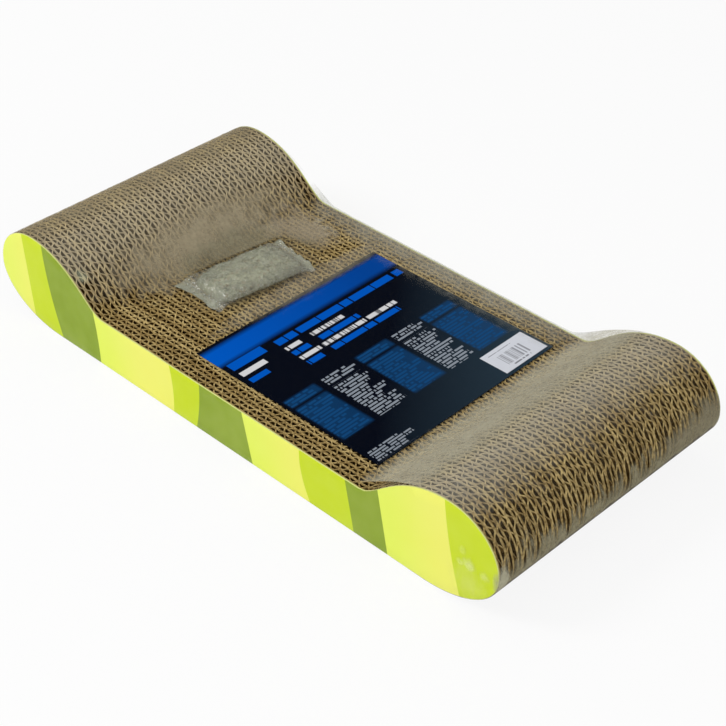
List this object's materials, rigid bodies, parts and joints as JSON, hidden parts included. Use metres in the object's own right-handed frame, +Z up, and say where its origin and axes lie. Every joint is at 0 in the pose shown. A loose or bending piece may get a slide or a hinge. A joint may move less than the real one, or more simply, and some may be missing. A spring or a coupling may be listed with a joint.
{
  "type": "cat scratcher lounge",
  "caption": "Cat scratcher lounge of upright corrugated boards: a low seat between two raised round ends, striped side panels, with card and catnip sachet under shrink film.",
  "frame": {"origin": "on the surface that it stands on, under the middle of its length and width", "axes": "+X along the boards towards the end where the card lies, +Y across them towards the rear panel, +Z up"},
  "size_m": [0.466, 0.2124, 0.0724],
  "materials": {
    "corrugated_board": "raw kraft corrugated board, cut edges and open flute ends",
    "printed_panel": "satin print, pale yellow, lime and olive stripes, pale cut edge",
    "dark_card": "satin printed card, near-black blue with a bright blue band",
    "white_paper": "matt white paper with grey bars",
    "dried_herb": "grey-green crumbled dried leaf",
    "clear_film": "clear shrink film with wrinkles and glints"
  },
  "bodies": {
    "root": {"board_01": "corrugated_board", "board_02": "corrugated_board", "board_03": "corrugated_board", "board_04": "corrugated_board", "board_05": "corrugated_board", "board_06": "corrugated_board", "board_07": "corrugated_board", "board_08": "corrugated_board", "board_09": "corrugated_board", "board_10": "corrugated_board", "board_11": "corrugated_board", "board_12": "corrugated_board", "board_13": "corrugated_board", "board_14": "corrugated_board", "board_15": "corrugated_board", "board_16": "corrugated_board", "board_17": "corrugated_board", "board_18": "corrugated_board", "board_19": "corrugated_board", "board_20": "corrugated_board", "board_21": "corrugated_board", "board_22": "corrugated_board", "board_23": "corrugated_board", "board_24": "corrugated_board", "board_25": "corrugated_board", "board_26": "corrugated_board", "board_27": "corrugated_board", "board_28": "corrugated_board", "board_29": "corrugated_board", "board_30": "corrugated_board", "board_31": "corrugated_board", "board_32": "corrugated_board", "board_33": "corrugated_board", "board_34": "corrugated_board", "board_35": "corrugated_board", "board_36": "corrugated_board", "board_37": "corrugated_board", "board_38": "corrugated_board", "board_39": "corrugated_board", "board_40": "corrugated_board", "board_41": "corrugated_board", "board_42": "corrugated_board", "board_43": "corrugated_board", "board_44": "corrugated_board", "board_45": "corrugated_board", "board_46": "corrugated_board", "board_47": "corrugated_board", "board_48": "corrugated_board", "board_49": "corrugated_board", "board_50": "corrugated_board", "board_51": "corrugated_board", "board_52": "corrugated_board", "board_53": "corrugated_board", "front_panel": "printed_panel", "rear_panel": "printed_panel", "info_card": "dark_card", "card_sticker": "white_paper", "catnip_sachet": "dried_herb", "film_base": "clear_film", "film_wrap": "clear_film"}
  },
  "joints": []
}
